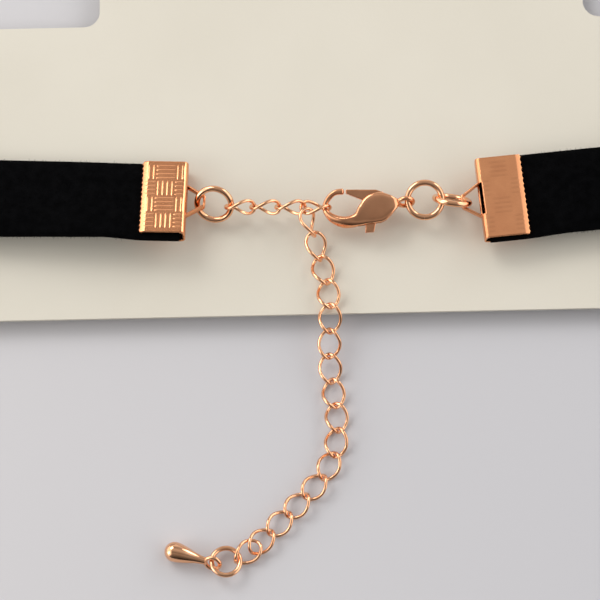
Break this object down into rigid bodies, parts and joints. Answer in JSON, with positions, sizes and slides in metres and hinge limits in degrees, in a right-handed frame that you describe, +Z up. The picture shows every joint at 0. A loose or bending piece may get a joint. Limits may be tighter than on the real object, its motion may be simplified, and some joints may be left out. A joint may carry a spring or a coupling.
{
  "type": "choker necklace on a display card",
  "caption": "Velvet ribbon choker with a lobster clasp, extender chain and drop, fastened round a plain display card.",
  "frame": {"origin": "on the table under the middle of the whole object's box", "axes": "+X along the card's long side to the right, +Y to the card's tab, +Z up from the table"},
  "size_m": [0.1638, 0.09, 0.0073],
  "materials": {
    "card_board": "matt uncoated cream board",
    "velvet": "black short-pile velvet",
    "rose_gold": "polished rose-gold plating"
  },
  "bodies": {
    "choker": {"card": "card_board", "ribbon": "velvet", "crimp_left": "rose_gold", "crimp_right": "rose_gold", "ring_left": "rose_gold", "ring_clasp": "rose_gold", "ring_right": "rose_gold", "row_link_1": "rose_gold", "row_link_2": "rose_gold", "row_link_3": "rose_gold", "hooked_link": "rose_gold", "chain_link_1": "rose_gold", "chain_link_2": "rose_gold", "chain_link_3": "rose_gold", "chain_link_4": "rose_gold", "chain_link_5": "rose_gold", "chain_link_6": "rose_gold", "chain_link_7": "rose_gold", "chain_link_8": "rose_gold", "chain_link_9": "rose_gold", "chain_link_10": "rose_gold", "chain_link_11": "rose_gold", "chain_link_12": "rose_gold", "chain_link_13": "rose_gold", "chain_link_14": "rose_gold", "chain_link_15": "rose_gold", "chain_link_16": "rose_gold", "clasp_body": "rose_gold", "clasp_pin": "rose_gold", "end_ring": "rose_gold", "drop": "rose_gold"},
    "clasp_lever": {"clasp_lever": "rose_gold"}
  },
  "joints": [
    {"name": "lever_hinge", "type": "hinge", "parent": "choker", "child": "clasp_lever", "pos_m": [0.00442, 0.00037, 0.0049], "axis": [0.0109, -0.2076, 0.9781], "range_deg": [0, 22], "stiffness_Nm_per_rad": 0.003, "springref_deg": -11.46}
  ]
}
